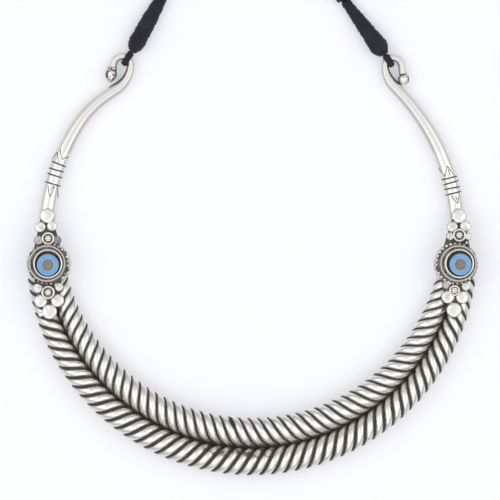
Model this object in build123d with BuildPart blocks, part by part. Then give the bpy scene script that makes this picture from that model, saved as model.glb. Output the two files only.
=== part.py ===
from build123d import *
import os
from collections import namedtuple
from math import acos, atan, cos, degrees, radians, sin, sqrt, tan

# Stiff silver neck collar with a cord, lying flat on the plane z = 0. Millimetres.
# The front of the collar points to -Y and its neck cord to +Y. The collar's box is centred on Z.
# A place on the collar is given by its angle from the middle of the front. Side -1 is left, 1 right.

# Circles of the collar, seen from above
collar_radius = 70.0                        # centreline of the two arms
rope_circle_radius = collar_radius + 0.7    # line along which the two ropes meet
rope_circle_drop = 1.4                      # the ropes' circle lies this far before the arms' one
rope_end_angle = 80.0                       # each end of the ropes, under its ornament

# Ropes: four wires each, thickest at the middle of the front
inner_rope_radius = 5.15
outer_rope_radius = 4.95
rope_end_radius = 3.45
rope_taper_power = 1.7
rope_gap = 0.10               # between the two ropes
wires_per_rope = 4
inner_rope_lead = 14.3        # length of one full turn of its wires
outer_rope_lead = 15.3
sections_per_turn = 10
WirePoint = namedtuple("WirePoint", "share reach")
wire_outline = (              # round one wire: share of its angle, share of the rope's radius
    WirePoint(0.0, 1.0),
    WirePoint(0.345, 0.95),
    WirePoint(0.5, 0.74),
    WirePoint(0.655, 0.95),
)

# Arms: round from the ropes on, bevelled from the facet angle on, thinning to the hook's wire
arm_base_diameter = 6.6
arm_tip_diameter = 4.3
arm_taper_power = 1.4
hook_wire_diameter = 2.6
hook_height = 2.6             # axis of the hook's wire above the ground
facet_count = 8
facet_angle = 113.6
facet_inset = 0.06            # the facets are filed this much below the round stretch
joint_gap = 0.40              # between the ropes' ends and the arm's end, which aren't parallel
ring_width = 0.55             # engraved rings round each arm
ring_depth = 0.25
left_ring_angles = (104.4, 106.8, 108.4, 110.2)
right_ring_angles = (101.7, 103.2, 104.7, 106.1)

# Each hook from above: the arm turns in at its shoulder, runs straight, turns outwards while it
# rises, and curls back round the eye
Hook = namedtuple("Hook", "shoulder_radius shoulder_turn reach rise_radius rise_turn "
                          "eye_radius eye_turn tail")
shoulder_angle = 122.0
left_hook = Hook(35.0, 25.0, 3.6, 10.0, 54.0, 2.95, 170.0, 1.6)
right_hook = Hook(70.0, 11.5, 4.0, 9.9, 40.0, 2.85, 175.0, 2.9)
end_collar_length = 0.6
end_collar_radius = 1.6
bud_radius = 1.95             # end of the left hook
bud_length = 4.4
bud_tip_radius = 0.5
ball_radius = 1.92            # end of the right hook
ball_neck_radius = 0.9

# Ornaments: a base over the joint of ropes and arm, and what is soldered on and beside it.
# Places on an ornament are its distance outwards and its distance along, towards the hook.
Spot = namedtuple("Spot", "out along")
Disc = namedtuple("Disc", "out along radius")
Granule = namedtuple("Granule", "out along height")
ornament_angle = 81.5
left_ornament_lean = 1.5      # the long axis leans outwards from Y, in degrees
right_ornament_lean = 3.5
ornament_front_reach = 18.1   # the seat touches the ropes and the arm at these distances
ornament_back_reach = 19.2
seat_gap = 0.10               # over the ropes and the arm
base_radius = 6.8
base_neck_radius = 6.7
base_height = 1.9
rim_height = 1.25             # of the knobbed rim, the lower part of the base
knob_count = 28
knob_radius = 0.62
knob_circle_radius = 6.95
left_base = Spot(-0.5, 0.45)
right_base = Spot(-0.1, 0.5)
base_top_radius = 6.4
left_top = Spot(0.2, 0.6)     # the base's top and its twisted ring
right_top = Spot(0.8, 0.65)
twisted_ring_radius = 5.9
twisted_ring_wire = 0.38
left_collet = Spot(-0.15, 0.45)
right_collet = Spot(1.15, 0.6)
collet_radius = 4.95
collet_wall = 0.55
collet_height = 1.7
backing_thickness = 0.7
backing_root_width = 8.4
backing_end_width = 4.0
disc_height = 1.25
disc_rounding = 0.8
granule_radius = 0.56
floret_height = 0.75
floret_wire = 0.33
petal_count = 6
petal_radius = 0.40
petal_circle_radius = 0.72
left_florets = (
    Disc(-0.34, 9.1, 2.2),
    Disc(0.1, -9.2, 2.3),
)
right_florets = (
    Disc(0.6, 10.3, 2.27),
    Disc(0.05, -8.55, 1.9),
)
left_discs = (                # from the hook's end to the front
    Disc(-0.25, 16.9, 2.45),
    Disc(2.25, 13.1, 1.8),
    Disc(-1.75, 13.3, 1.75),
    Disc(2.9, 8.6, 1.6),
    Disc(-3.2, 8.5, 1.5),
    Disc(3.5, -7.6, 1.65),
    Disc(-3.6, -7.4, 1.5),
    Disc(2.65, -12.0, 2.15),
    Disc(-3.0, -12.0, 2.15),
    Disc(2.75, -16.5, 0.85),
    Disc(-0.2, -15.7, 2.45),
)
right_discs = (
    Disc(0.12, 16.9, 2.4),
    Disc(-1.9, 13.05, 1.8),
    Disc(2.5, 13.5, 1.8),
    Disc(-2.4, 9.8, 1.35),
    Disc(3.6, 10.1, 1.25),
    Disc(-2.85, -6.7, 1.45),
    Disc(3.75, -6.85, 1.45),
    Disc(-2.0, -10.85, 2.15),
    Disc(2.85, -10.65, 2.1),
    Disc(0.3, -15.1, 2.45),
)
left_granules = (
    Granule(1.8, 12.65, 1.55),
    Granule(-2.0, 12.35, 1.55),
    Granule(2.75, -7.1, 1.5),
    Granule(-2.65, -6.7, 1.5),
    Granule(-2.1, -11.3, 1.5),
)
right_granules = (
    Granule(-1.55, 13.1, 1.55),
    Granule(2.95, 12.7, 1.55),
    Granule(3.15, 7.9, 0.95),
    Granule(-1.65, -6.2, 1.5),
    Granule(2.95, -6.3, 1.5),
    Granule(-2.0, -10.85, 1.6),
)

# Beads
bead_radius = 3.88
bead_seat_gap = 0.05
bead_height = 1.4
bead_rounding = 0.35
bead_hole_radius = 1.65
bead_hole_depth = 0.9
left_bead = Spot(-0.13, 0.05)    # each bead has slipped towards the front in its collet
right_bead = Spot(1.45, 0.3)
fill_gap = 0.03               # round the filling
fill_drop = 0.08              # the filling lies this much below the bead's face

# Thread loops round the hooks' wire
loop_width = 1.9
loop_thickness = 0.9
loop_clearance = 0.12         # over and under the hook's wire
loop_slack = 0.4              # more room inside the hook's eye, where the wire bends
left_loop_reach = 2.5         # from the middle of the hook's wire to the sleeve
right_loop_reach = 1.9
loop_direction = 57.0         # from X on the left, mirrored on the right
left_loop_place = 51.0        # where the loop crosses the hook's eye, from X
right_loop_place = 52.0

# Thread-wrapped sleeves of the cord
left_sleeve_length = 28.9
right_sleeve_length = 23.3
left_sleeve_radius = 2.9
right_sleeve_radius = 3.15
left_sleeve_direction = 61.3
right_sleeve_direction = 53.6
sleeve_mouth_width = 2.3
sleeve_mouth_height = 5.1
Swelling = namedtuple("Swelling", "at left right")
sleeve_profile = (            # share of the length, shares of the radius
    Swelling(0.05, 0.74, 0.64),
    Swelling(0.10, 0.93, 0.87),
    Swelling(0.17, 1.00, 1.00),
    Swelling(0.30, 0.94, 0.89),
    Swelling(0.50, 0.825, 0.77),
    Swelling(0.70, 0.665, 0.655),
    Swelling(0.85, 0.55, 0.555),
    Swelling(1.00, 0.495, 0.485),
)
cord_joint_gap = 0.05         # between the pieces of the cord

# Knot and neck cord
knot_radius = 2.25
knot_length = 3.0
knot_rounding = 0.9
cord_diameter = 2.8
cord_route = (
    (-27.01, 97.65),
    (-22.21, 106.42),
    (-13.15, 113.50),
    (-1.99, 116.28),
    (9.34, 114.28),
    (17.22, 108.12),
    (24.07, 100.20),
    (29.71, 92.55),
)

os.makedirs("parts", exist_ok=True)
up = Vector(0, 0, 1)


def polar(radius, angle):
    """Place at a radius and an angle from the middle of the front, about a circle's centre."""
    return Vector(radius * sin(radians(angle)), -radius * cos(radians(angle)))


def mirrored_heading(side, angle):
    """Unit vector in the ground plane at an angle from X on the left, mirrored on the right."""
    turned = radians(90 + side * (90 - angle))
    return Vector(cos(turned), sin(turned))


def across_plane(place, along, height):
    """Upright plane across a direction in the ground plane, its X level and its Y upwards."""
    return Plane(origin=(place.X, place.Y, height), x_dir=up.cross(along), z_dir=along)


def along_plane(place, along, height):
    """Upright plane that holds a direction in the ground plane as its X, its Y upwards."""
    return Plane(origin=(place.X, place.Y, height), x_dir=along, z_dir=along.cross(up))


def rope_radius(middle, angle):
    """Radius of a rope at an angle from the middle of the front."""
    return middle - (middle - rope_end_radius) * (abs(angle) / rope_end_angle) ** rope_taper_power


def arm_lines(side, hook, center):
    """Arcs and straight runs of an arm's centreline, from the ropes to the end of its hook."""
    with BuildLine():
        lower = CenterArc(center, collar_radius, side * arm_start_angle - 90,
                          side * (facet_angle - arm_start_angle))
        upper = CenterArc(center, collar_radius, side * facet_angle - 90,
                          side * (shoulder_angle - facet_angle))
        shoulder = JernArc(upper @ 1, upper % 1, hook.shoulder_radius, side * hook.shoulder_turn)
        reach = Line(shoulder @ 1, shoulder @ 1 + hook.reach * (shoulder % 1))
        rise = JernArc(reach @ 1, reach % 1, hook.rise_radius, -side * hook.rise_turn)
        eye = JernArc(rise @ 1, rise % 1, hook.eye_radius, -side * hook.eye_turn)
        tail = Line(eye @ 1, eye @ 1 + hook.tail * (eye % 1))
    return lower, upper, shoulder, reach, rise, eye, tail


# The arm starts where its end face meets the ropes' ends
rope_end_depth = rope_circle_drop + rope_circle_radius * cos(radians(rope_end_angle))
arm_start_angle = degrees(acos((rope_end_depth - joint_gap) / collar_radius))

# The arms' circle lies where the collar's box is centred on the Z axis
eye_tops = [arm_lines(side, hook, (0, 0))[5].arc_center.Y + hook.eye_radius
            for side, hook in ((-1, left_hook), (1, right_hook))]
collar_back = max(eye_tops) + hook_wire_diameter / 2 - facet_inset
collar_front = rope_circle_drop + rope_circle_radius + rope_gap / 2 + 2 * outer_rope_radius
collar_center = Vector(0, (collar_front - collar_back) / 2)
rope_center = collar_center - Vector(0, rope_circle_drop)


def rope_ring(side, middle, lead, angle):
    """Corner points of a rope's lobed section at an angle from the middle of the front."""
    radius = rope_radius(middle, angle)
    place = rope_center + polar(rope_circle_radius + side * (radius + rope_gap / 2), angle)
    inwards = -polar(1, angle)
    mean_circle = rope_circle_radius + side * (middle + rope_end_radius) / 2
    twist = 90 - side * 360 * mean_circle * radians(angle) / lead
    ring = []
    for wire in range(wires_per_rope):
        for point in wire_outline:
            turn = radians(twist + 360 * (wire + point.share) / wires_per_rope)
            level = inwards * (radius * point.reach * cos(turn))
            ring.append(place + level + up * (radius * (1 + point.reach * sin(turn))))
    return ring


def skin(rings):
    """Solid of flat faces over rings that have as many points each."""
    faces = [Face(Wire.make_polygon(rings[0])), Face(Wire.make_polygon(rings[-1]))]
    for first, second in zip(rings, rings[1:]):
        for i in range(len(first)):
            j = (i + 1) % len(first)
            faces.append(Face(Wire.make_polygon([first[i], first[j], second[j]])))
            faces.append(Face(Wire.make_polygon([first[i], second[j], second[i]])))
    return Solid(Shell(faces))


def make_rope(side, middle, lead):
    """Twisted rope on one side of the line where the two meet: -1 is inside, 1 is outside."""
    mean_circle = rope_circle_radius + side * (middle + rope_end_radius) / 2
    steps = round(sections_per_turn * 2 * radians(rope_end_angle) * mean_circle / lead)
    angles = [rope_end_angle * (2 * step / steps - 1) for step in range(steps + 1)]
    with BuildPart() as rope:
        add(skin([rope_ring(side, middle, lead, angle) for angle in angles]))
    return rope


inner_rope = make_rope(-1, inner_rope_radius, inner_rope_lead)
outer_rope = make_rope(1, outer_rope_radius, outer_rope_lead)


def arm_diameter(lines, distance):
    """Diameter of an arm at a distance from its base, up to the start of the hook."""
    share = distance / sum(line.length for line in lines[:4])
    return arm_base_diameter - (arm_base_diameter - arm_tip_diameter) * share ** arm_taper_power


def arm_sections(lines, first, last, steps):
    """Section planes and diameters along some of an arm's lines, where it rests on the ground."""
    sections = []
    done = sum(line.length for line in lines[:first])
    for line in lines[first:last]:
        for step in range(steps + 1):
            share = step / steps
            if step == 0 and sections:
                continue
            diameter = arm_diameter(lines, done + line.length * share)
            sections.append((across_plane(line @ share, line % share, diameter / 2), diameter))
        done += line.length
    return sections


def hook_sections(rise, eye, tail):
    """Section planes and diameters of a hook, which rises to make room for the thread loop."""
    sections = []
    rise_steps = 5
    for step in range(1, rise_steps + 1):
        share = step / rise_steps
        diameter = arm_tip_diameter + (hook_wire_diameter - arm_tip_diameter) * share
        height = arm_tip_diameter / 2 + (hook_height - arm_tip_diameter / 2) * share
        sections.append((across_plane(rise @ share, rise % share, height), diameter))
    eye_steps = 10
    for step in range(1, eye_steps + 1):
        share = step / eye_steps
        plane = across_plane(eye @ share, eye % share, hook_height)
        sections.append((plane, hook_wire_diameter))
    sections.append((across_plane(tail @ 1, tail % 1, hook_height), hook_wire_diameter))
    return sections


def bud_outline():
    """Upper half of the bud and its collar, along the hook's axis."""
    neck = (end_collar_length, hook_wire_diameter / 2)
    tip = (end_collar_length + bud_length, bud_tip_radius)
    Polyline((0, 0), (0, end_collar_radius), (end_collar_length, end_collar_radius), neck)
    ThreePointArc(neck, (end_collar_length + bud_length * 0.4, bud_radius), tip)
    Polyline(tip, (tip[0], 0), (0, 0))


def ball_outline():
    """Upper half of the ball and its collar, along the hook's axis."""
    collar_end = end_collar_length / 2
    neck = (collar_end, ball_neck_radius)
    middle = collar_end + sqrt(ball_radius ** 2 - ball_neck_radius ** 2)
    Polyline((0, 0), (0, hook_wire_diameter / 2), (collar_end, hook_wire_diameter / 2), neck)
    ThreePointArc(neck, (middle, ball_radius), (middle + ball_radius, 0))
    Line((middle + ball_radius, 0), (0, 0))


def make_arm(side, hook, ring_angles, outline):
    """One arm with its engraved rings, its hook, and what the hook ends in."""
    lines = arm_lines(side, hook, collar_center)
    lower, tail = lines[0], lines[-1]
    with BuildPart() as arm:
        for plane, diameter in arm_sections(lines, 0, 1, 6):
            with BuildSketch(plane):
                Circle(diameter / 2)
        loft()
        for plane, diameter in arm_sections(lines, 1, 4, 3) + hook_sections(*lines[4:]):
            with BuildSketch(plane):
                RegularPolygon(diameter / 2 - facet_inset, facet_count, major_radius=False,
                               rotation=180 / facet_count)
        loft(ruled=True)
        with BuildSketch(along_plane(tail @ 1, tail % 1, hook_height)):
            with BuildLine():
                outline()
            make_face()
        revolve(axis=Axis(tail @ 1 + up * hook_height, tail % 1))
        for angle in ring_angles:
            share = (angle - arm_start_angle) / (facet_angle - arm_start_angle)
            diameter = arm_diameter(lines, lower.length * share)
            with BuildSketch(across_plane(lower @ share, lower % share, diameter / 2)):
                Circle(diameter)
                Circle(diameter / 2 - ring_depth, mode=Mode.SUBTRACT)
            extrude(amount=ring_width / 2, both=True, mode=Mode.SUBTRACT)
    return arm


arm_left = make_arm(-1, left_hook, left_ring_angles, bud_outline)
arm_right = make_arm(1, right_hook, right_ring_angles, ball_outline)


def ornament_seat(side, lean):
    """Plane under an ornament, from the ropes' tops down to the arm's: X outwards, Y along it."""
    front_angle = ornament_angle - degrees(ornament_front_reach / rope_circle_radius)
    front_top = 2 * rope_radius(inner_rope_radius, front_angle) + seat_gap
    lines = arm_lines(1, right_hook, collar_center)
    back_distance = radians(ornament_angle - arm_start_angle) * collar_radius + ornament_back_reach
    back_top = arm_diameter(lines, back_distance) + seat_gap
    pitch = atan((front_top - back_top) / (ornament_front_reach + ornament_back_reach))
    place = collar_center + polar(collar_radius, side * ornament_angle)
    along = mirrored_heading(side, 90 + lean)
    return Plane(origin=(place.X, place.Y, back_top + ornament_back_reach * tan(pitch)),
                 x_dir=side * along.cross(up), z_dir=up * cos(pitch) + along * sin(pitch))


def flattened_ball(radius):
    """Silver ball hammered to a disc with a rounded upper edge."""
    with BuildPart() as ball:
        Cylinder(radius, disc_height, align=(Align.CENTER, Align.CENTER, Align.MIN))
        fillet(ball.edges().sort_by(Axis.Z)[-1], disc_rounding)
    return ball.part


def make_floret(radius):
    """Six-petalled floret in a small ring."""
    with BuildPart() as floret:
        Cylinder(radius - floret_wire, floret_height, align=(Align.CENTER, Align.CENTER, Align.MIN))
        with Locations((0, 0, floret_height)):
            Torus(radius - floret_wire, floret_wire)
            Sphere(petal_radius)
            with PolarLocations(petal_circle_radius, petal_count):
                Sphere(petal_radius)
    return floret.part


def make_ornament(side, lean, base, top, collet, florets, discs, granules):
    """Base, twisted ring, collet, backing, florets, discs and granules, all soldered together."""
    seat = ornament_seat(side, lean)
    floor_up = (Align.CENTER, Align.CENTER, Align.MIN)
    with BuildPart(seat) as ornament:
        with BuildSketch(seat):
            with Locations((base.out, side * base.along)):
                Circle(base_radius)
                with PolarLocations(knob_circle_radius, knob_count):
                    Circle(knob_radius)
        extrude(amount=rim_height)
        with BuildSketch(seat.offset(rim_height)):
            with Locations((base.out, side * base.along)):
                Circle(base_neck_radius)
        with BuildSketch(seat.offset(base_height)):
            with Locations((top.out, side * top.along)):
                Circle(base_top_radius)
        loft()
        for reach in (discs[0].along, discs[-1].along):
            with BuildSketch(seat):
                Polygon((-backing_root_width / 2, 0), (backing_root_width / 2, 0),
                        (backing_end_width / 2, side * reach), (-backing_end_width / 2, side * reach),
                        align=None)
            extrude(amount=backing_thickness)
        for disc in discs:
            with Locations((disc.out, side * disc.along, 0)):
                add(flattened_ball(disc.radius))
        for floret in florets:
            with Locations((floret.out, side * floret.along, backing_thickness)):
                add(make_floret(floret.radius))
        for granule in granules:
            with Locations((granule.out, side * granule.along, granule.height)):
                Sphere(granule_radius)
        with Locations((top.out, side * top.along, base_height)):
            Torus(twisted_ring_radius, twisted_ring_wire)
        with Locations((collet.out, side * collet.along, base_height - backing_thickness)):
            Cylinder(collet_radius, collet_height + backing_thickness, align=floor_up)
        with Locations((collet.out, side * collet.along, base_height)):
            Cylinder(collet_radius - collet_wall, 2 * collet_height, align=floor_up, mode=Mode.SUBTRACT)
    return ornament


ornament_left = make_ornament(-1, left_ornament_lean, left_base, left_top, left_collet,
                              left_florets, left_discs, left_granules)
ornament_right = make_ornament(1, right_ornament_lean, right_base, right_top, right_collet,
                               right_florets, right_discs, right_granules)


def bead_plane(side, lean, place):
    """Plane under a bead in its collet."""
    seat = ornament_seat(side, lean)
    middle = (place.out, side * place.along, base_height + bead_seat_gap)
    return Plane(origin=seat.from_local_coords(middle), x_dir=seat.x_dir, z_dir=seat.z_dir)


def make_bead(plane):
    """Flat glass bead with its hole upwards."""
    floor_up = (Align.CENTER, Align.CENTER, Align.MIN)
    with BuildPart(plane) as bead:
        Cylinder(bead_radius, bead_height, align=floor_up)
        top = bead.faces().sort_by(Axis(plane.origin, plane.z_dir))[-1]
        fillet(top.edges(), bead_rounding)
        with Locations((0, 0, bead_height - bead_hole_depth)):
            Cylinder(bead_hole_radius, 2 * bead_hole_depth, align=floor_up, mode=Mode.SUBTRACT)
    return bead


def make_fill(plane):
    """Filling in the hole of a bead."""
    with BuildPart(plane.offset(bead_height - bead_hole_depth + fill_gap)) as fill:
        Cylinder(bead_hole_radius - fill_gap, bead_hole_depth - fill_gap - fill_drop,
                 align=(Align.CENTER, Align.CENTER, Align.MIN))
    return fill


left_bead_plane = bead_plane(-1, left_ornament_lean, left_bead)
right_bead_plane = bead_plane(1, right_ornament_lean, right_bead)
glass_bead_left = make_bead(left_bead_plane)
glass_bead_right = make_bead(right_bead_plane)
bead_fill_left = make_fill(left_bead_plane)
bead_fill_right = make_fill(right_bead_plane)


def loop_crossing(side, hook, place_angle):
    """Place where the thread loop goes round the middle of the hook's wire."""
    eye = arm_lines(side, hook, collar_center)[5]
    return eye.arc_center + hook.eye_radius * mirrored_heading(side, place_angle)


def make_loop(side, hook, place_angle, reach):
    """Thread loop that goes over, round and back under the hook's wire."""
    crossing = loop_crossing(side, hook, place_angle)
    direction = mirrored_heading(side, loop_direction)
    radius = hook_wire_diameter / 2 + loop_clearance + loop_thickness / 2
    leg = reach - cord_joint_gap
    with BuildPart() as loop:
        with BuildLine(along_plane(crossing, direction, hook_height)) as path:
            Line((leg, radius), (-loop_slack, radius))
            ThreePointArc((-loop_slack, radius), (-loop_slack - radius, 0), (-loop_slack, -radius))
            Line((-loop_slack, -radius), (leg, -radius))
        with BuildSketch(across_plane(crossing + leg * direction, direction, hook_height + radius)):
            Ellipse(loop_width / 2, loop_thickness / 2)
        sweep(path=path.line)
    return loop


def sleeve_mouth(side, hook, place_angle, reach):
    """Place where the thread loop goes into its sleeve."""
    return loop_crossing(side, hook, place_angle) + reach * mirrored_heading(side, loop_direction)


def make_sleeve(side, mouth, direction, length, profile):
    """Thread-wrapped swelling from its mouth on, resting on the ground all along."""
    along = mirrored_heading(side, direction)
    with BuildPart() as sleeve:
        with BuildSketch(across_plane(mouth, mirrored_heading(side, loop_direction), hook_height)):
            Ellipse(sleeve_mouth_width / 2, sleeve_mouth_height / 2)
        for share, radius in profile:
            with BuildSketch(across_plane(mouth + share * length * along, along, radius)):
                Circle(radius)
        loft(ruled=True)
    return sleeve


left_mouth = sleeve_mouth(-1, left_hook, left_loop_place, left_loop_reach)
right_mouth = sleeve_mouth(1, right_hook, right_loop_place, right_loop_reach)
left_profile = [(row.at, row.left * left_sleeve_radius) for row in sleeve_profile]
right_profile = [(row.at, row.right * right_sleeve_radius) for row in sleeve_profile]

cord_loop_left = make_loop(-1, left_hook, left_loop_place, left_loop_reach)
cord_loop_right = make_loop(1, right_hook, right_loop_place, right_loop_reach)
cord_sleeve_left = make_sleeve(-1, left_mouth, left_sleeve_direction, left_sleeve_length, left_profile)
cord_sleeve_right = make_sleeve(1, right_mouth, right_sleeve_direction, right_sleeve_length,
                                right_profile)

left_along = mirrored_heading(-1, left_sleeve_direction)
right_along = mirrored_heading(1, right_sleeve_direction)

right_end = right_mouth + (right_sleeve_length + cord_joint_gap) * right_along
with BuildPart(across_plane(right_end, right_along, knot_radius)) as cord_knot:
    Cylinder(knot_radius, knot_length, align=(Align.CENTER, Align.CENTER, Align.MIN))
    fillet(cord_knot.edges().filter_by(GeomType.CIRCLE), knot_rounding)

left_end = left_mouth + (left_sleeve_length + cord_joint_gap) * left_along
knot_end = right_end + (knot_length + cord_joint_gap) * right_along
print("cord starts at", left_end, "and ends at", knot_end)

runs = [Vector(*second) - Vector(*first) for first, second in zip(cord_route, cord_route[1:])]
cord_radii = [0.45 * min(before.length, after.length) / tan(radians(before.get_angle(after)) / 2)
              for before, after in zip(runs, runs[1:])]
print("cord bend radii:", [round(radius, 1) for radius in cord_radii])

with BuildPart() as neck_cord:
    with BuildLine(Plane.XY.offset(cord_diameter / 2)) as cord_path:
        FilletPolyline(*cord_route, radius=cord_radii)
    with BuildSketch(across_plane(Vector(*cord_route[0]), runs[0].normalized(), cord_diameter / 2)):
        Circle(cord_diameter / 2)
    sweep(path=cord_path.line)

inner_rope.part.label = "inner_rope"
outer_rope.part.label = "outer_rope"
arm_left.part.label = "arm_left"
arm_right.part.label = "arm_right"
ornament_left.part.label = "ornament_left"
ornament_right.part.label = "ornament_right"
glass_bead_left.part.label = "glass_bead_left"
glass_bead_right.part.label = "glass_bead_right"
bead_fill_left.part.label = "bead_fill_left"
bead_fill_right.part.label = "bead_fill_right"
cord_loop_left.part.label = "cord_loop_left"
cord_loop_right.part.label = "cord_loop_right"
cord_sleeve_left.part.label = "cord_sleeve_left"
cord_sleeve_right.part.label = "cord_sleeve_right"
cord_knot.part.label = "cord_knot"
neck_cord.part.label = "neck_cord"

export_step(inner_rope.part, "parts/inner_rope.step")
export_step(outer_rope.part, "parts/outer_rope.step")
export_step(arm_left.part, "parts/arm_left.step")
export_step(arm_right.part, "parts/arm_right.step")
export_step(ornament_left.part, "parts/ornament_left.step")
export_step(ornament_right.part, "parts/ornament_right.step")
export_step(glass_bead_left.part, "parts/glass_bead_left.step")
export_step(glass_bead_right.part, "parts/glass_bead_right.step")
export_step(bead_fill_left.part, "parts/bead_fill_left.step")
export_step(bead_fill_right.part, "parts/bead_fill_right.step")
export_step(cord_loop_left.part, "parts/cord_loop_left.step")
export_step(cord_loop_right.part, "parts/cord_loop_right.step")
export_step(cord_sleeve_left.part, "parts/cord_sleeve_left.step")
export_step(cord_sleeve_right.part, "parts/cord_sleeve_right.step")
export_step(cord_knot.part, "parts/cord_knot.step")
export_step(neck_cord.part, "parts/neck_cord.step")
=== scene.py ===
from collections import namedtuple
from math import atan, atan2, copysign, cos, degrees, hypot, pi, radians, sin, tan

import bmesh
import bpy
from mathutils import Matrix, Vector, noise


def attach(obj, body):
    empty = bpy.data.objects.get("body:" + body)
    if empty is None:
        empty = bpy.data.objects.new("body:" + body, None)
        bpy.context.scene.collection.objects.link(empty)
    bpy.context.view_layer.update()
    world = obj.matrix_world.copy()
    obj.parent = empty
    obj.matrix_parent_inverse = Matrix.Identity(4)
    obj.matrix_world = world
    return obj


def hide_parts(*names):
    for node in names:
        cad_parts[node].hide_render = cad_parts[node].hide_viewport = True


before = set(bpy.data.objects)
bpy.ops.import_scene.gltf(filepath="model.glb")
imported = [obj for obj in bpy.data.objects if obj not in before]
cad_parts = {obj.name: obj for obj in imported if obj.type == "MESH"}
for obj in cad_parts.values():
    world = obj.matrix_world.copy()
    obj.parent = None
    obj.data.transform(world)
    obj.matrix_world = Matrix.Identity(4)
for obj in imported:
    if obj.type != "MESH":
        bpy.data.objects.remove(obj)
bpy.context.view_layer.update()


# Camera: a long lens straight above the necklace, which fills the picture from its ropes to the
# first stretch of its cord.
picture_width = 0.170
picture_middle = Vector((-0.0006, 0.0049, 0.005))
camera_distance = 1.5
camera_data = bpy.data.cameras.new("camera")
camera_data.sensor_width = 36.0
camera_data.lens = camera_data.sensor_width * camera_distance / picture_width
camera = bpy.data.objects.new("camera", camera_data)
camera.location = picture_middle + Vector((0, 0, camera_distance))
bpy.context.collection.objects.link(camera)
bpy.context.scene.camera = camera


# Neck cord: a core of threads bound with one waxed thread in touching turns. It closes the
# necklace behind the neck, and lies on the surface in a plain arch. Sizes here and below are in
# millimetres, and each mesh is made a thousandth as large when it becomes an object.
MM = 0.001
UP = Vector((0, 0, 1))
TURN = 2 * pi
thread_pitch = 0.92           # this and the next two are shares of the thread's width
thread_looseness = 0.32
thread_roundness = 0.42
thread_sides = 6
thread_proud = 0.18           # the thread's outside is this far outside the solid's surface
turns_per_wobble = 1.7
core_step = 0.5
core_sides = 20


def linear(hex_colour):
    """Linear colour with alpha from an sRGB hex value."""
    parts = [int(hex_colour[i:i + 2], 16) / 255 for i in (1, 3, 5)]
    return [c / 12.92 if c <= 0.04045 else ((c + 0.055) / 1.055) ** 2.4 for c in parts] + [1.0]


def add_node(tree, kind, settings, inputs):
    """Adds a node with its settings. An input is a value, or an output that is linked to it."""
    node = tree.nodes.new(kind)
    for name, value in settings.items():
        setattr(node, name, value)
    for key, value in inputs.items():
        if isinstance(value, bpy.types.NodeSocket):
            tree.links.new(value, node.inputs[key])
        else:
            node.inputs[key].default_value = value
    return node


def new_material(name, **values):
    """Material with a node tree, its shader set to the values."""
    material = bpy.data.materials.new(name)
    material.use_nodes = True
    shader = material.node_tree.nodes["Principled BSDF"]
    for key, value in values.items():
        shader.inputs[key.replace("_", " ")].default_value = value
    return material, material.node_tree, shader


def new_piece(name, bm, material, slot, *nodes):
    """Object on the root body from a mesh in millimetres. It stands for the named CAD nodes."""
    bmesh.ops.recalc_face_normals(bm, faces=bm.faces)
    bmesh.ops.scale(bm, vec=(MM, MM, MM), verts=bm.verts)
    mesh = bpy.data.meshes.new(name)
    bm.to_mesh(mesh)
    bm.free()
    mesh.polygons.foreach_set("use_smooth", [True] * len(mesh.polygons))
    mesh.materials.append(material)
    piece = bpy.data.objects.new(name, mesh)
    bpy.context.collection.objects.link(piece)
    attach(piece, "root")
    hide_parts(*nodes)
    return piece


def close_ends(bm):
    """Fills the open ends of tubes."""
    ends = [edge for edge in bm.edges if edge.is_boundary]
    bmesh.ops.holes_fill(bm, edges=ends, sides=0)


def add_tube(bm, along, around, shape):
    """Tube that is rolled from a grid. shape gives the place of each share of its length and turn
    round it."""
    verts = bmesh.ops.create_grid(bm, x_segments=along, y_segments=around, size=0.5)["verts"]
    for vert in verts:
        vert.co = shape(vert.co.x + 0.5, TURN * (vert.co.y + 0.5))
    bmesh.ops.remove_doubles(bm, verts=verts, dist=1e-4)
    return [vert for vert in verts if vert.is_valid]


def between(rows, at):
    """Values between the two rows whose first column is either side of at."""
    for low, high in zip(rows, rows[1:]):
        if at <= high[0]:
            break
    share = min(max((at - low[0]) / (high[0] - low[0]), 0), 1)
    return [a + (b - a) * share for a, b in zip(low[1:], high[1:])]


def smooth(low, high, value):
    """Rises smoothly from 0 at low to 1 at high."""
    share = min(max((value - low) / (high - low), 0), 1)
    return share * share * (3 - 2 * share)


def grain(size):
    """Scale of a noise pattern whose grain has this size in millimetres."""
    return 1 / (size * MM)


def level_line(middle, along):
    """Middle, direction and sideways direction of a line that runs level."""
    return middle, along, along.cross(UP).normalized()


def wind_thread(length, thread, line, half_size, turn_steps, seed):
    """Mesh of a thread in touching turns round a core, none of it below the ground. line gives the
    middle, the direction and the sideways direction at a distance, and half_size half of the
    width and height there."""
    turns = round(length / (thread_pitch * thread))

    def surface(at, turn, reach):
        at = min(max(at, 0), length)
        middle, along, side = line(at)
        width, height = half_size(at)
        across = side * ((width + reach) * cos(turn))
        place = middle + across + side.cross(along) * ((height + reach) * sin(turn))
        place.z = max(place.z, 0.0)
        return place

    def thread_place(share, thread_turn):
        at = thread / 2 + (length - thread) * share
        wobble = noise.noise(Vector((turns * share / turns_per_wobble, seed, 0.5)))
        reach = thread_proud + thread_looseness * thread * wobble
        reach += thread_roundness * thread * (cos(thread_turn) - 1)
        return surface(at + thread / 2 * sin(thread_turn), TURN * turns * share, reach)

    bm = bmesh.new()
    add_tube(bm, turns * turn_steps, thread_sides, thread_place)
    add_tube(bm, round(length / core_step), core_sides,
             lambda share, turn: surface(length * share, turn, -thread / 2))
    close_ends(bm)
    return bm


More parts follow.
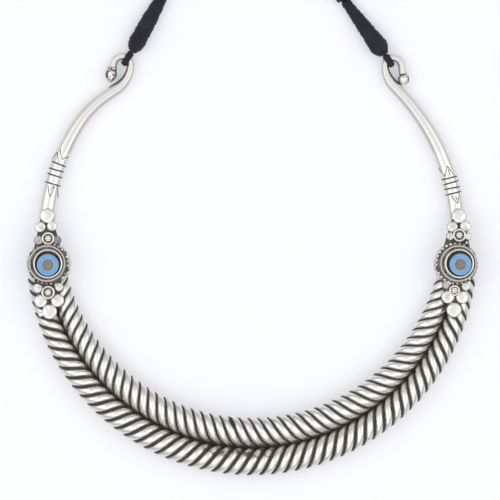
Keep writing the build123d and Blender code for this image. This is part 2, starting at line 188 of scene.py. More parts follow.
# Waxed cotton thread: matt and nearly black with a cool tint, and paler where it is worn. Its
# fibres are too fine to show, and are drawn 0.4 mm coarse.
black_thread, tree, shader = new_material(
    "waxed cotton thread", Roughness=0.72, Specular_IOR_Level=0.35, Sheen_Weight=0.15,
    Sheen_Roughness=0.5, Sheen_Tint=linear("#8C8CA4"))
place = add_node(tree, "ShaderNodeTexCoord", {}, {}).outputs["Object"]
fibres = add_node(tree, "ShaderNodeTexNoise", {}, {"Vector": place, "Scale": grain(0.4)})
wear = add_node(tree, "ShaderNodeTexNoise", {}, {"Vector": place, "Scale": grain(4)})
tone = add_node(tree, "ShaderNodeMix", {"data_type": "RGBA"},
                {0: wear.outputs["Fac"], 6: linear("#0D0C13"), 7: linear("#33323F")})
bump = add_node(tree, "ShaderNodeBump", {},
                {"Height": fibres.outputs["Fac"], "Strength": 0.5, "Distance": 0.00006})
tree.links.new(tone.outputs[2], shader.inputs["Base Color"])
tree.links.new(bump.outputs["Normal"], shader.inputs["Normal"])

cord_radius = 1.4
cord_thread = 0.8
heading_step = 0.3
cord_route = (
    (-27.01, 97.65),
    (-22.21, 106.42),
    (-13.15, 113.50),
    (-1.99, 116.28),
    (9.34, 114.28),
    (17.22, 108.12),
    (24.07, 100.20),
    (29.71, 92.55),
)
route_curve = bpy.data.curves.new("cord route", "CURVE")
route_curve.dimensions = "3D"
route_curve.resolution_u = 24
spline = route_curve.splines.new("NURBS")
spline.points.add(len(cord_route) - 1)
for point, (x, y) in zip(spline.points, cord_route):
    point.co = (x * MM, y * MM, cord_radius * MM, 1)
spline.order_u = 3
spline.use_endpoint_u = True
route_object = bpy.data.objects.new("cord route", route_curve)
route_mesh = bpy.data.meshes.new_from_object(route_object)
cord_path = [vert.co.copy() for vert in route_mesh.vertices]
bpy.data.objects.remove(route_object)
cord_rows = [(0.0, *cord_path[0] / MM)]
for before, after in zip(cord_path, cord_path[1:]):
    cord_rows.append((cord_rows[-1][0] + (after - before).length / MM, *after / MM))
cord_length = cord_rows[-1][0]


def cord_line(at):
    """Middle and directions of the neck cord at a distance from its left end."""
    before = Vector(between(cord_rows, max(at - heading_step, 0)))
    after = Vector(between(cord_rows, min(at + heading_step, cord_length)))
    return level_line(Vector(between(cord_rows, at)), (after - before).normalized())


neck_cord_mesh = wind_thread(cord_length, cord_thread, cord_line,
                             lambda at: (cord_radius, cord_radius), 14, 0.0)
neck_cord = new_piece("neck_cord_wound", neck_cord_mesh, black_thread, "thread", "neck_cord")


# Thread loops: on each side a strand bound with fine thread goes over the hook's wire, down inside
# its eye and back under it, and both of its legs end in the sleeve. The arms' centrelines are
# worked out here, because the loops hang on the hooks.
collar_radius = 70.0
collar_center = Vector((0, 9.9905, 0))
arm_start_angle = 79.0665
facet_angle = 113.6
shoulder_angle = 122.0
Run = namedtuple("Run", "length turn")
Hook = namedtuple("Hook", "shoulder_radius shoulder_turn reach rise_radius rise_turn "
                          "eye_radius eye_turn tail")
left_hook = Hook(35.0, 25.0, 3.6, 10.0, 54.0, 2.95, 170.0, 1.6)
right_hook = Hook(70.0, 11.5, 4.0, 9.9, 40.0, 2.85, 175.0, 2.9)
hook_wire = 2.6
hook_height = 2.6
loop_width = 1.9
loop_thickness = 0.9
loop_clearance = 0.12
loop_slack = 0.4
loop_direction = 57.0
loop_thread = 0.5
left_loop_place, right_loop_place = 51.0, 52.0
left_loop_reach, right_loop_reach = 2.5, 1.9
cord_joint_gap = 0.05


def polar(radius, angle):
    """Place at a radius and an angle from the middle of the front, about a circle's centre."""
    return Vector((radius * sin(radians(angle)), -radius * cos(radians(angle)), 0))


def mirrored_heading(side, angle):
    """Unit vector in the ground plane at an angle from X on the left, mirrored on the right."""
    turned = radians(90 + side * (90 - angle))
    return Vector((cos(turned), sin(turned), 0))


def arm_runs(hook):
    """Shaft, bevelled shaft, shoulder, reach, rise, eye and tail of an arm. A turn inwards is
    positive."""
    shaft = facet_angle - arm_start_angle
    bevelled = shoulder_angle - facet_angle
    return (
        Run(collar_radius * radians(shaft), shaft),
        Run(collar_radius * radians(bevelled), bevelled),
        Run(hook.shoulder_radius * radians(hook.shoulder_turn), hook.shoulder_turn),
        Run(hook.reach, 0),
        Run(hook.rise_radius * radians(hook.rise_turn), -hook.rise_turn),
        Run(hook.eye_radius * radians(hook.eye_turn), -hook.eye_turn),
        Run(hook.tail, 0),
    )


def arm_line(side, hook, at):
    """Place in the ground plane, direction and outward direction of an arm's centreline."""
    place = collar_center + polar(collar_radius, side * arm_start_angle)
    heading = arm_start_angle if side > 0 else 180 - arm_start_angle
    runs = arm_runs(hook)
    for run in runs:
        step = at if run is runs[-1] else min(at, run.length)
        turn = side * run.turn * step / run.length
        half = radians(turn) / 2
        chord = step * sin(half) / half if half else step
        toward = radians(heading) + half
        place = place + chord * Vector((cos(toward), sin(toward), 0))
        heading += turn
        at -= step
        if at <= 0:
            break
    along = Vector((cos(radians(heading)), sin(radians(heading)), 0))
    return place, along, side * along.cross(UP)


def loop_crossing(side, hook, place_angle):
    """Place where the thread loop crosses the middle of the hook's wire."""
    rise_end, along, outward = arm_line(side, hook, sum(run.length for run in arm_runs(hook)[:5]))
    return rise_end + hook.eye_radius * (outward + mirrored_heading(side, place_angle))


def make_loop(name, side, hook, place_angle, reach, node):
    """Thread loop round one hook."""
    direction = mirrored_heading(side, loop_direction)
    radius = hook_wire / 2 + loop_clearance + loop_thickness / 2
    leg = reach - cord_joint_gap + loop_slack
    bend = pi * radius
    bend_middle = loop_crossing(side, hook, place_angle) + UP * hook_height - loop_slack * direction
    sideways = UP.cross(direction)

    def line(at):
        if at < leg:
            return bend_middle + direction * (leg - at) + UP * radius, -direction, sideways
        if at < leg + bend:
            turn = (at - leg) / radius
            spoke = UP * cos(turn) - direction * sin(turn)
            return bend_middle + radius * spoke, -direction * cos(turn) - UP * sin(turn), sideways
        return bend_middle + direction * (at - leg - bend) - UP * radius, direction, sideways

    bm = wind_thread(2 * leg + bend, loop_thread, line,
                     lambda at: (loop_width / 2, loop_thickness / 2), 16, 2.0 + side)
    return new_piece(name, bm, black_thread, "thread", node)


loop_left = make_loop("cord_loop_left_wound", -1, left_hook, left_loop_place, left_loop_reach,
                      "cord_loop_left")
loop_right = make_loop("cord_loop_right_wound", 1, right_hook, right_loop_place, right_loop_reach,
                       "cord_loop_right")


# Cord sleeves: next to each hook the cord is wrapped with many more turns, thickest just behind
# the loop and thinning towards the neck. Their turns lie a little uneven.
sleeve_thread = 0.9
sleeve_mouth_width = 2.3
sleeve_mouth_height = 5.1
Sleeve = namedtuple("Sleeve", "length direction radius")
left_sleeve = Sleeve(28.9, 61.3, 2.9)
right_sleeve = Sleeve(23.3, 53.6, 3.15)
Swelling = namedtuple("Swelling", "at left right")
sleeve_profile = (
    Swelling(0.05, 0.74, 0.64),
    Swelling(0.10, 0.93, 0.87),
    Swelling(0.17, 1.00, 1.00),
    Swelling(0.30, 0.94, 0.89),
    Swelling(0.50, 0.825, 0.77),
    Swelling(0.70, 0.665, 0.655),
    Swelling(0.85, 0.55, 0.555),
    Swelling(1.00, 0.495, 0.485),
)


def make_sleeve(name, side, mouth, sleeve, shares, node):
    """Wound swelling from its mouth on, resting on the ground."""
    along = mirrored_heading(side, sleeve.direction)
    rows = [(0.0, sleeve_mouth_width / 2, sleeve_mouth_height / 2, hook_height)]
    for at, share in shares:
        radius = sleeve.radius * share
        rows.append((at * sleeve.length, radius, radius, radius))
    bm = wind_thread(sleeve.length, sleeve_thread,
                     lambda at: level_line(mouth + along * at + UP * between(rows, at)[2], along),
                     lambda at: between(rows, at)[:2], 20, 7.0 + side)
    return new_piece(name, bm, black_thread, "thread", node)


left_mouth = (loop_crossing(-1, left_hook, left_loop_place)
              + left_loop_reach * mirrored_heading(-1, loop_direction))
right_mouth = (loop_crossing(1, right_hook, right_loop_place)
               + right_loop_reach * mirrored_heading(1, loop_direction))
sleeve_left = make_sleeve("cord_sleeve_left_wound", -1, left_mouth, left_sleeve,
                          [(row.at, row.left) for row in sleeve_profile], "cord_sleeve_left")
sleeve_right = make_sleeve("cord_sleeve_right_wound", 1, right_mouth, right_sleeve,
                           [(row.at, row.right) for row in sleeve_profile], "cord_sleeve_right")


# Cord knot: a few turns of the thread, knotted round the cord at the right sleeve's thin end, which
# hold the sleeve's winding.
knot_radius = 2.25
knot_length = 3.0
knot_thread = 0.75
knot_rounding = 0.5
knot_rounding_share = 2.2
right_along = mirrored_heading(1, right_sleeve.direction)
knot_start = right_mouth + (right_sleeve.length + cord_joint_gap) * right_along


def knot_half_size(at):
    """Half width and height of the knot, less at both of its ends."""
    from_end = 1 - abs(2 * at / knot_length - 1)
    size = knot_radius - knot_rounding * max(0.0, 1 - knot_rounding_share * from_end)
    return size, size


knot_mesh = wind_thread(knot_length, knot_thread,
                        lambda at: level_line(knot_start + right_along * at + UP * knot_radius,
                                              right_along),
                        knot_half_size, 24, 5.0)
knot = new_piece("cord_knot_tied", knot_mesh, black_thread, "thread", "cord_knot")


# Ropes: the collar's front is made of two ropes, each twisted from four thick silver wires, one of
# them to the right and one to the left. They are thickest in front and thin towards their ends
# under the ornaments. The furrows between their wires are dark with tarnish and painted shade,
# painted shade darkens them along the line where they meet, and some residue has dried on the
# outer rope near the middle of the front.
rope_circle_radius = collar_radius + 0.7
rope_circle_drop = 1.4
rope_center = collar_center - Vector((0, rope_circle_drop, 0))
rope_end_angle = 80.0
rope_end_radius = 3.45
rope_taper_power = 1.7
rope_gap = 0.10
wire_sides = 16
steps_per_turn = 34
Rope = namedtuple("Rope", "radius lead wire_place wire_radius furrow split_dark")
inner_rope = Rope(5.15, 14.3, 0.70, 0.30, (0.872, 0.975), (0.88, 1.02))
outer_rope = Rope(4.95, 15.3, 0.69, 0.31, (0.88, 0.985), (0.72, 1.0))
first_turns = (90, 180, 270, 360)
core_share = 0.81             # of the rope's radius
packing_half_width = 0.18     # this and the next two are shares of the inner rope's radius
packing_level = 0.68
packing_half_height = 0.22
shaded_gap = Vector((-6.6, -53.6, 0))    # here one furrow of the inner rope is wider and dark
gap_along = Vector((0.51, -0.86))
gap_across = Vector((0.86, 0.51))
gap_half_length = 2.2
gap_reach = 3.0
residue_start = (-17, -12)    # angles from the middle of the front
residue_end = (4, 10)
residue_grain = 1.7

# Worn silver: bright and softly polished where it is rubbed, with a black-brown tarnish left in its
# hollows, and the same dark tones painted as shade in furrows, creases and outlines, where less
# light falls. How rubbed and how shaded each place is stands in the mesh's attribute of wear and
# painted shade, below 0 in the deepest; its high values also paint highlights. Its scratches are
# too fine to show, and are drawn as specks of two thirds of a millimetre.
silver, tree, shader = new_material("silver with tarnish and painted shade")
place = add_node(tree, "ShaderNodeTexCoord", {}, {}).outputs["Object"]
wear_and_shade = add_node(tree, "ShaderNodeAttribute", {"attribute_name": "wear_and_shade"}, {}).outputs["Fac"]
clouds = add_node(tree, "ShaderNodeTexNoise", {},
                  {"Vector": place, "Scale": grain(2.63), "Detail": 2.0})
specks = add_node(tree, "ShaderNodeTexNoise", {},
                  {"Vector": place, "Scale": grain(0.667), "Detail": 2.0})
cloudy = add_node(tree, "ShaderNodeMath", {"operation": "MULTIPLY_ADD"},
                  {0: clouds.outputs["Fac"], 1: 0.3, 2: wear_and_shade})
spread = add_node(tree, "ShaderNodeMath", {"operation": "MULTIPLY_ADD"},
                  {0: specks.outputs["Fac"], 1: 0.45, 2: cloudy.outputs[0]})
brightness_mask = add_node(tree, "ShaderNodeMapRange", {"interpolation_type": "SMOOTHSTEP"},
                  {"Value": spread.outputs[0], "From Min": 0.40, "From Max": 1.15})
depth = add_node(tree, "ShaderNodeMapRange", {},
                 {"Value": spread.outputs[0], "From Min": -0.2, "From Max": 0.4})
tarnish_and_shade = add_node(tree, "ShaderNodeMix", {"data_type": "RGBA"},
                   {0: depth.outputs["Result"], 6: linear("#17171D"), 7: linear("#4C463F")})
tone = add_node(tree, "ShaderNodeMix", {"data_type": "RGBA"},
                {0: brightness_mask.outputs["Result"], 6: tarnish_and_shade.outputs[2], 7: linear("#ECE9E4")})
metal = add_node(tree, "ShaderNodeMapRange", {},
                 {"Value": brightness_mask.outputs["Result"], "To Min": 0.3, "To Max": 1.0})
gloss = add_node(tree, "ShaderNodeMapRange", {},
                 {"Value": brightness_mask.outputs["Result"], "To Min": 0.65, "To Max": 0.36})
fine = add_node(tree, "ShaderNodeBump", {},
                {"Height": specks.outputs["Fac"], "Strength": 0.15, "Distance": 0.00005})
tree.links.new(tone.outputs[2], shader.inputs["Base Color"])
tree.links.new(gloss.outputs["Result"], shader.inputs["Roughness"])
tree.links.new(metal.outputs["Result"], shader.inputs["Metallic"])
tree.links.new(fine.outputs["Normal"], shader.inputs["Normal"])


def rope_radius(full, angle):
    """Radius of a rope at an angle from the middle of the front, where its radius is full."""
    return full - (full - rope_end_radius) * (abs(angle) / rope_end_angle) ** rope_taper_power


def add_packing(bm):
    """Tarnish and old solder, packed between the two ropes below where they meet."""

    def surface(share, turn):
        angle = (2 * share - 1) * (rope_end_angle - 0.5)
        radius = rope_radius(inner_rope.radius, angle)
        out = rope_circle_radius + packing_half_width * radius * cos(turn)
        level = radius * (packing_level + packing_half_height * sin(turn))
        return rope_center + polar(out, angle) + UP * level

    add_tube(bm, 160, 10, surface)
    close_ends(bm)


def make_rope(name, side, rope, node):
    """Rope of four wires on one side of the line where the two ropes meet: -1 inside, 1 outside.
    It is twisted straight and cut to length, then tapered and bent."""
    mean_circle = rope_circle_radius + side * (rope.radius + rope_end_radius) / 2
    length = 2 * radians(rope_end_angle) * mean_circle
    helix = rope.radius * rope.wire_place
    wire = rope.radius * rope.wire_radius
    slope = atan(TURN * helix / rope.lead)
    spare = 2 * wire
    bm = bmesh.new()
    wear_and_shade_layer = bm.verts.layers.float.new("wear_and_shade")
    for first_turn in first_turns:

        def wire_surface(share, wire_turn):
            along = (length + 2 * spare) * (share - 0.5)
            turn = radians(first_turn) - side * TURN * along / rope.lead
            out = Vector((cos(turn), sin(turn), 0))
            tilted = side * cos(slope) * Vector((-sin(turn), cos(turn), 0)) + sin(slope) * UP
            place = UP * along + out * (helix + wire * cos(wire_turn))
            return place + tilted * (wire * sin(wire_turn))

        add_tube(bm, round(length / rope.lead * steps_per_turn), wire_sides, wire_surface)
    core = rope.radius * core_share
    add_tube(bm, 90, 16, lambda share, turn: Vector((core * cos(turn), core * sin(turn),
                                                     length * (share - 0.5))))
    for end in (-1, 1):
        bmesh.ops.bisect_plane(bm, geom=bm.verts[:] + bm.edges[:] + bm.faces[:],
                               plane_co=(0, 0, end * (length / 2 - 0.01)), plane_no=(0, 0, end),
                               clear_outer=True)
    close_ends(bm)
    for vert in bm.verts:
        inward, height, along = vert.co
        angle = degrees(along / mean_circle)
        radius = rope_radius(rope.radius, angle)
        # Tarnish and painted shade darken the furrows, and painted shade darkens the flank where the
        # two ropes meet.
        reach = hypot(inward, height) / rope.radius
        split_shade = smooth(*rope.split_dark, side * inward / rope.radius)
        vert[wear_and_shade_layer] = smooth(*rope.furrow, reach) * (1 - 0.8 * split_shade)
        middle = rope_center + polar(rope_circle_radius + side * (radius + rope_gap / 2), angle)
        scale = radius / rope.radius
        vert.co = middle - polar(inward * scale, angle) + UP * (radius + height * scale)
        if side > 0 and height > 0:
            residue = smooth(*residue_start, angle) * (1 - smooth(*residue_end, angle))
            residue *= smooth(0.0, 0.5, inward / rope.radius)
            residue *= smooth(-0.3, 0.1, noise.noise(vert.co / residue_grain))
            vert[wear_and_shade_layer] *= 1 - 0.8 * residue
        # Painted shade darkens the wider furrow of the inner rope here.
        off_gap = (vert.co - shaded_gap).xy
        if height > 0 and off_gap.length < gap_reach:
            in_gap = hypot(off_gap.dot(gap_along) / gap_half_length, off_gap.dot(gap_across))
            vert[wear_and_shade_layer] *= smooth(0.75, 1.1, in_gap)
    if side < 0:
        add_packing(bm)
    return new_piece(name, bm, silver, "silver", node)


make_rope("inner_rope_twisted", -1, inner_rope, "inner_rope")
make_rope("outer_rope_twisted", 1, outer_rope, "outer_rope")


# Arms: solid silver bars forged round and tapered, filed to eight sides towards their ends, which
# are bent up and curled into hooks. Rings and short strokes are engraved in them. The left hook
# ends in a small bud, and the right one in a ball.
arm_base_diameter = 6.6
arm_tip_diameter = 4.3
arm_taper_power = 1.4
facet_inset = 0.06
facet_span = radians(45)
facet_edge = 1.012            # the edges between facets are rubbed down to this share of the radius
facet_start_length = 1.2
facet_end_length = 0.6
arm_sides = 112
plain_step = 0.5
engraved_step = 0.14
end_step = 0.1
ring_half_width = 0.36
ring_depth = 0.25
ring_slant = 0.12
stroke_half_width = 0.30
stroke_depth = 0.14
bight_start = 4.0             # before and after the hook's rise, its hollow side is dark
bight_end = 3.0
engraved_angles = (98.0, 114.8)
left_rings = (104.4, 106.8, 108.4, 110.2)
right_rings = (101.7, 103.2, 104.7, 106.1)
# Both ends of each stroke: the angle from the middle of the front, and how far out of the arm's
# centreline.
left_strokes = (
    ((113.1, 2.04), (110.7, 2.82)),
    ((113.1, 2.04), (110.6, 0.07)),
    ((114.1, 1.41), (111.9, -0.37)),
    ((111.7, -0.56), (113.1, -2.33)),
    ((103.6, 1.36), (100.7, -0.27)),
    ((100.7, -0.27), (103.9, -1.02)),
    ((104.3, -1.8), (100.9, -3.0)),
    ((102.9, -0.13), (103.9, -0.9)),
)
right_strokes = (
    ((109.8, -2.47), (106.8, -1.57)),
    ((106.8, -1.57), (109.5, 0.46)),
    ((109.5, 0.46), (106.7, 1.77)),
    ((108.5, 0.38), (107.0, 0.43)),
    ((101.1, -1.01), (98.7, 0.79)),
    ((98.7, 0.79), (100.7, 1.9)),
    ((100.7, 0.48), (99.7, 0.85)),
)
ball_radius = 1.92
ball_middle = 2.0
# Distance from the end of the hook's wire, and radius there.
bud_rows = (
    (0.0, 1.3),
    (0.1, 1.6),
    (0.5, 1.6),
    (0.65, 1.3),
    (1.2, 1.72),
    (1.8, 1.92),
    (2.4, 1.95),
    (3.0, 1.85),
    (3.8, 1.45),
    (4.5, 0.95),
    (4.9, 0.55),
    (5.0, 0.15),
)
ball_rows = [(0.0, 1.3), (0.3, 1.3)]
for step in range(13):
    turn = radians(30 + 12 * step)
    ball_rows.append((ball_middle - ball_radius * cos(turn), ball_radius * sin(turn)))


def arm_diameter(rise_start, at):
    """Diameter of an arm at a distance from its base, up to the start of its hook's rise."""
    share = at / rise_start
    return arm_base_diameter - (arm_base_diameter - arm_tip_diameter) * share ** arm_taper_power


def arm_distance(angle):
    """Distance along an arm's shaft of an angle from the middle of the front."""
    return collar_radius * radians(angle - arm_start_angle)


def stroke_reach(place, start, end):
    """Distance of a place from a stroke, both seen from above along the arm."""
    share = (place - start).dot(end - start) / (end - start).length_squared
    return (place - start.lerp(end, min(max(share, 0), 1))).length


def engraved_depth(at, turn, reach, ring_angles, stroke_ends):
    """Depth of the rings and strokes at a place on an arm's shaft."""
    depth = 0.0
    for angle in ring_angles:
        slant = ring_slant * sin(2.3 * angle) * cos(turn)
        away = abs(at - arm_distance(angle) - slant)
        depth = max(depth, ring_depth * (1 - smooth(0, ring_half_width, away)))
    if turn > 0:
        seen = Vector((at, reach * cos(turn)))
        away = min(stroke_reach(seen, *ends) for ends in stroke_ends)
        depth = max(depth, stroke_depth * (1 - smooth(0, stroke_half_width, away)))
    return depth


def make_arm(name, side, hook, ring_angles, strokes, end_rows, collar_lines, spotting, node):
    """One arm with its engraving, its hook, and what the hook ends in. It is drawn out straight,
    shaped, and bent."""
    runs = arm_runs(hook)
    rise_start = sum(run.length for run in runs[:4])
    rise_end = rise_start + runs[4].length
    tail_end = sum(run.length for run in runs)
    end_length = end_rows[-1][0]
    first, last = [arm_distance(angle) for angle in engraved_angles]
    facets_start = arm_distance(facet_angle)
    stroke_ends = [[Vector((arm_distance(angle), out)) for angle, out in stroke]
                   for stroke in strokes]
    marks = [0.0]
    while marks[-1] < tail_end + end_length:
        at = marks[-1]
        step = engraved_step if first < at < last else plain_step
        marks.append(at + (end_step if at > tail_end - 0.3 else step))
    marks[-1] = tail_end + end_length
    bm = bmesh.new()
    wear_and_shade_layer = bm.verts.layers.float.new("wear_and_shade")
    verts = add_tube(bm, len(marks) - 1, arm_sides, lambda share, turn: Vector(
        (cos(turn), sin(turn), marks[round(share * (len(marks) - 1))])))
    close_ends(bm)
    for vert in verts:
        at = vert.co.z
        turn = atan2(vert.co.y, vert.co.x)
        hook_share = min(max((at - rise_start) / (rise_end - rise_start), 0), 1)
        radius = arm_diameter(rise_start, min(at, rise_start)) / 2
        level = radius
        if hook_share > 0:
            radius = (arm_tip_diameter + (hook_wire - arm_tip_diameter) * hook_share) / 2
            level = arm_tip_diameter / 2 + (hook_height - arm_tip_diameter / 2) * hook_share
        if at > tail_end:
            radius = between(end_rows, at - tail_end)[0]
        off_flat = (turn + facet_span / 2) % facet_span - facet_span / 2
        filed = min((radius - facet_inset) / cos(off_flat), radius * facet_edge)
        facets = smooth(facets_start, facets_start + facet_start_length, at)
        facets *= 1 - smooth(tail_end - facet_end_length, tail_end, at)
        reach = radius + (filed - radius) * facets
        cut = 0.0
        if first < at < last:
            cut = engraved_depth(at, turn, reach, ring_angles, stroke_ends)
        # The hollow side of the hook's bight is darkened with tarnish and painted shade.
        bight_shade = smooth(0.58, 0.80, cos(turn)) * smooth(rise_start - bight_start, rise_start, at)
        bight_shade *= 1 - 0.45 * smooth(rise_end, rise_end + bight_end, at)
        vert[wear_and_shade_layer] = (1 - smooth(0.02, 0.13, cut)) * (1 - 1.1 * bight_shade)
        if at > tail_end - 0.2:
            # The bud and the ball get painted shade along both sides of their outline, dark lines at
            # their collars and dark spots.
            outline_shade = smooth(0.6, 0.9, abs(cos(turn)))
            collar = 1 - smooth(0.05, 0.28, min(abs(at - tail_end - dark) for dark in collar_lines))
            spots = smooth(0.1, 0.25, noise.noise(Vector((1.3 * at, 2 * turn, side))))
            vert[wear_and_shade_layer] = 1 - max(0.9 * outline_shade, 1.2 * collar, spotting * spots)
        middle, along, outward = arm_line(side, hook, at)
        reach -= cut
        vert.co = middle + outward * (reach * cos(turn)) + UP * (level + reach * sin(turn))
    return new_piece(name, bm, silver, "silver", node)


make_arm("arm_left_forged", -1, left_hook, left_rings, left_strokes, bud_rows,
         collar_lines=(-0.1, 0.75), spotting=0.9, node="arm_left")
make_arm("arm_right_forged", 1, right_hook, right_rings, right_strokes, ball_rows,
         collar_lines=(0.3,), spotting=0.3, node="arm_right")


# Ornaments: on each joint of ropes and arm lies a round base with a knobbed rim, a ring of twisted
# wire and the bead's collet. Before and behind it, on a backing plate, are florets in rings, and
# silver balls hammered to discs with granules on them. All of it is soldered, and its recesses are
# dark with tarnish and painted shade.
ornament_angle = 81.5
left_lean, right_lean = 1.5, 3.5
ornament_front_reach = 18.1
ornament_back_reach = 19.2
seat_gap = 0.10
base_height = 1.9
rim_height = 1.25
knob_count = 28
knob_radius = 0.62
knob_level = 0.95
knob_circle_radius = 6.75
base_foot_radius = 7.4
base_foot_slope = 0.09        # the foot's wall leans in by this share of its radius
base_top_radius = 6.4
shaded_floor_radius = 4.5       # the base is darkest inside the collet
twisted_ring_radius = 5.9
twisted_ring_wire = 0.38
twisted_ring_turns = 26
collet_radius = 4.95
collet_wall = 0.55
collet_height = 1.7
backing_thickness = 0.7
backing_root_width = 12.0
backing_end_width = 3.6
disc_height = 1.25
disc_spread = 1.07
disc_dents = 0.16
dent_grain = 0.9              # so many dents to a millimetre
granule_radius = 0.56
floret_height = 0.75
floret_wire = 0.33
floret_gap = 0.1
petal_count = 6
petal_radius = 0.47
petal_circle_radius = 0.68
Spot = namedtuple("Spot", "out along")
Disc = namedtuple("Disc", "out along radius polish", defaults=(1.0,))
Granule = namedtuple("Granule", "out along height")
Layout = namedtuple("Layout", "base rim top collet collet_lean florets discs granules")
left_layout = Layout(
    base=Spot(-0.5, 0.45),
    rim=Spot(-0.25, 0.5),
    top=Spot(0.2, 0.6),
    collet=Spot(-0.15, 0.45),
    collet_lean=0.0,
    florets=(
        Disc(-0.34, 9.1, 2.2),
        Disc(0.1, -9.2, 2.3),
    ),
    discs=(
        Disc(-0.25, 16.9, 2.45),
        Disc(2.25, 13.1, 1.8),
        Disc(-1.75, 13.3, 1.75),
        Disc(2.9, 8.6, 1.6, 0.55),
        Disc(-3.2, 8.5, 1.5, 0.35),
        Disc(3.5, -7.6, 1.65, 0.8),
        Disc(-3.6, -7.4, 1.5, 0.8),
        Disc(2.65, -12.0, 2.15),
        Disc(-3.0, -12.0, 2.15),
        Disc(2.75, -16.5, 0.85),
        Disc(-0.2, -15.7, 2.45),
    ),
    granules=(
        Granule(1.8, 12.65, 1.55),
        Granule(-2.0, 12.35, 1.55),
        Granule(2.75, -7.1, 1.5),
        Granule(-2.65, -6.7, 1.5),
        Granule(-2.1, -11.3, 1.5),
    ),
)
right_layout = Layout(
    base=Spot(-0.1, 0.5),
    rim=Spot(0.1, 0.6),
    top=Spot(0.8, 0.65),
    collet=Spot(1.15, 0.6),
    collet_lean=0.5,
    florets=(
        Disc(0.6, 10.3, 2.27),
        Disc(0.05, -8.55, 1.9),
    ),
    discs=(
        Disc(0.12, 16.9, 2.4),
        Disc(-1.9, 13.05, 1.8),
        Disc(2.5, 13.5, 1.8),
        Disc(-2.4, 9.8, 1.35, 0.75),
        Disc(3.6, 10.1, 1.25, 0.85),
        Disc(-2.85, -6.7, 1.45, 0.6),
        Disc(3.75, -6.85, 1.45, 0.8),
        Disc(-2.0, -10.85, 2.15),
        Disc(2.85, -10.65, 2.1),
        Disc(0.3, -15.1, 2.45),
    ),
    granules=(
        Granule(-1.55, 13.1, 1.55),
        Granule(2.95, 12.7, 1.55),
        Granule(3.15, 7.9, 0.95),
        Granule(-1.65, -6.2, 1.5),
        Granule(2.95, -6.3, 1.5),
        Granule(-2.0, -10.85, 1.6),
    ),
)


def ornament_seat(side, lean):
    """Matrix of an ornament's seat on the ropes and the arm: X outwards, Y along it, Z off it."""
    front_angle = ornament_angle - degrees(ornament_front_reach / rope_circle_radius)
    front_top = 2 * rope_radius(inner_rope.radius, front_angle) + seat_gap
    rise_start = sum(run.length for run in arm_runs(right_hook)[:4])
    back_distance = radians(ornament_angle - arm_start_angle) * collar_radius + ornament_back_reach
    back_top = arm_diameter(rise_start, back_distance) + seat_gap
    pitch = atan((front_top - back_top) / (ornament_front_reach + ornament_back_reach))
    place = collar_center + polar(collar_radius, side * ornament_angle)
    place.z = back_top + ornament_back_reach * tan(pitch)
    along = mirrored_heading(side, 90 + lean)
    x_axis = side * along.cross(UP)
    z_axis = UP * cos(pitch) + along * sin(pitch)
    y_axis = z_axis.cross(x_axis)
    rows = [(x_axis[i], y_axis[i], z_axis[i], place[i]) for i in range(3)]
    return Matrix(rows + [(0, 0, 0, 1)])


def paint(verts, layer, wear_and_shade_at):
    """Writes how worn each vertex is, from its place."""
    for vert in verts:
        vert[layer] = wear_and_shade_at(vert.co)


def signed_power(value, power):
    """The value's power with its sign kept."""
    return copysign(abs(value) ** power, value)


def add_hoop(bm, radius, half_width, half_height, squareness, around, across):
    """Closed ring about Z. Its section is an ellipse at a squareness of 1, and fuller below."""

    def surface(share, turn):
        out = radius + half_width * signed_power(cos(turn), squareness)
        level = half_height * signed_power(sin(turn), squareness)
        return Vector((out * cos(TURN * share), out * sin(TURN * share), level))

    return add_tube(bm, around, across, surface)


def add_dome(bm, radius, height, edge, top, around):
    """Flat-bottomed disc with a slightly raised top. The nearer edge and top are to 0, the
    squarer it is."""
    verts = bmesh.ops.create_uvsphere(bm, u_segments=around, v_segments=around // 2,
                                      radius=1)["verts"]
    for vert in verts:
        reach = hypot(vert.co.x, vert.co.y)
        spread = radius * reach ** edge / reach if reach > 1e-6 else 0
        vert.co.x *= spread
        vert.co.y *= spread
        vert.co.z = height * abs(vert.co.z) ** top if vert.co.z > 0 else 0.02 * vert.co.z
    return verts


def add_ball(bm, radius, place):
    """Small ball."""
    return bmesh.ops.create_uvsphere(bm, u_segments=14, v_segments=8, radius=radius,
                                     matrix=Matrix.Translation(place))["verts"]


def add_twisted_hoop(bm, radius, wire, turns):
    """Ring of two fine wires twisted together."""
    verts = []
    for first_turn in (0, pi):

        def surface(share, turn):
            twist = first_turn + TURN * turns * share
            out = radius + wire * (cos(twist) + cos(turn))
            level = wire * (sin(twist) + sin(turn))
            return Vector((out * cos(TURN * share), out * sin(TURN * share), level))

        verts += add_tube(bm, turns * 12, 8, surface)
    return verts


